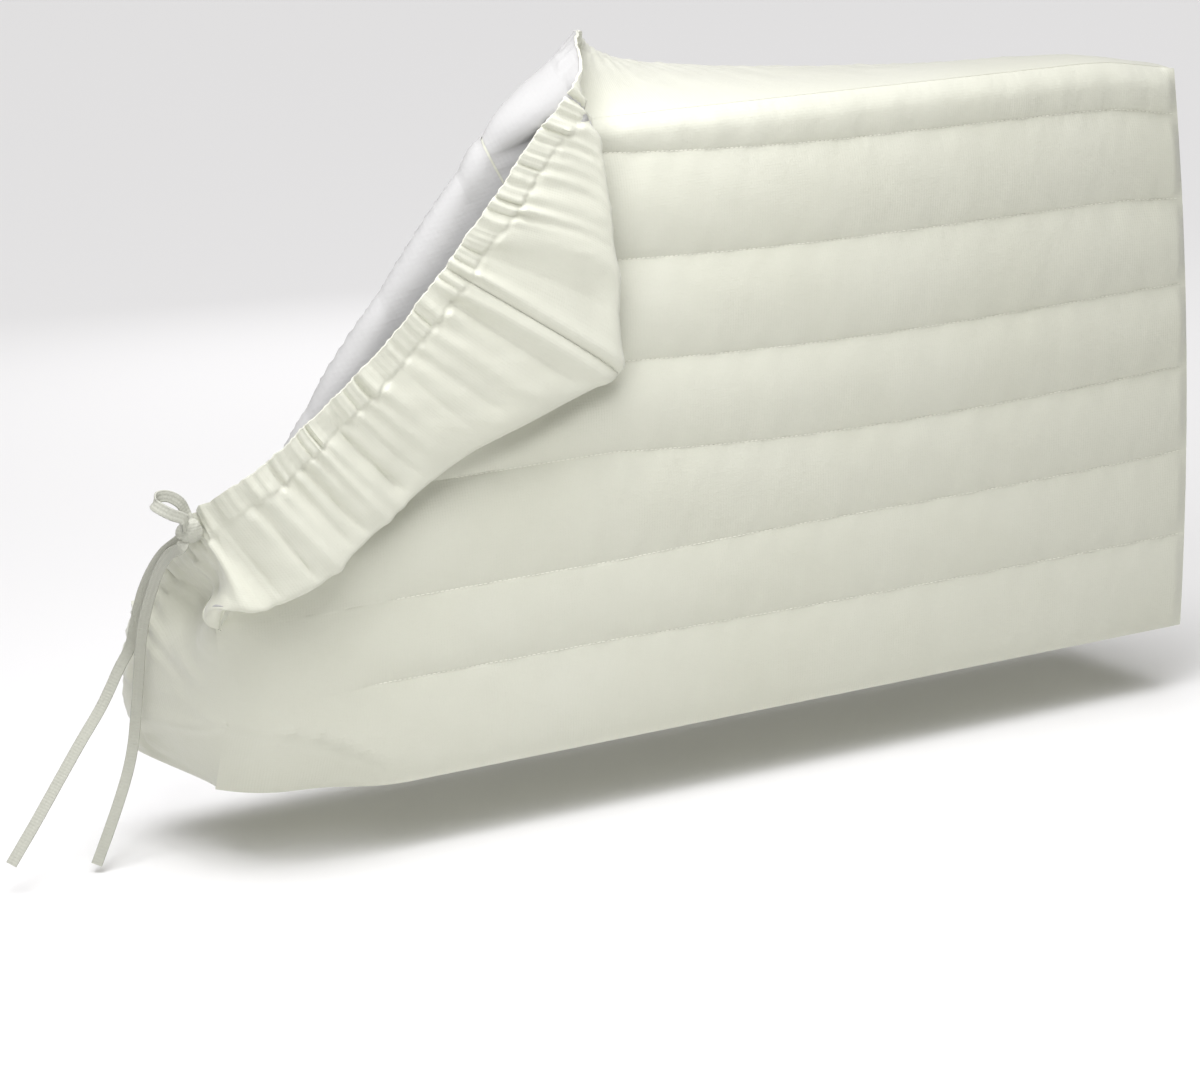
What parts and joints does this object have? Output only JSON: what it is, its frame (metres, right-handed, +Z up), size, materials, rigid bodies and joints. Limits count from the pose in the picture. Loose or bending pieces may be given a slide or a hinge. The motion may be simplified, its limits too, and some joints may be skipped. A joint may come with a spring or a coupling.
{
  "type": "air conditioner cover",
  "caption": "Quilted fabric cover for a window air conditioner, one front corner folded down, with a gathered hem and a knotted tie.",
  "frame": {"origin": "underside of the top strip, over the middle of the hollow that the unit fills", "axes": "+X to the right along the quilted front panel, +Y from the front panel back towards the open side, +Z up"},
  "size_m": [0.8203, 0.1655, 0.4844],
  "materials": {
    "shell": "soft satin woven polyester",
    "lining": "matt white non-woven lining",
    "tape": "matt woven tape"
  },
  "bodies": {
    "root": {"front_panel": "shell", "panel_lining": "lining", "top_strip": "shell", "left_strip": "shell", "bottom_strip": "shell", "right_strip": "shell", "tie_knot": "tape", "tie_loop": "tape", "tie_right_end": "tape", "tie_left_end": "tape"}
  },
  "joints": []
}
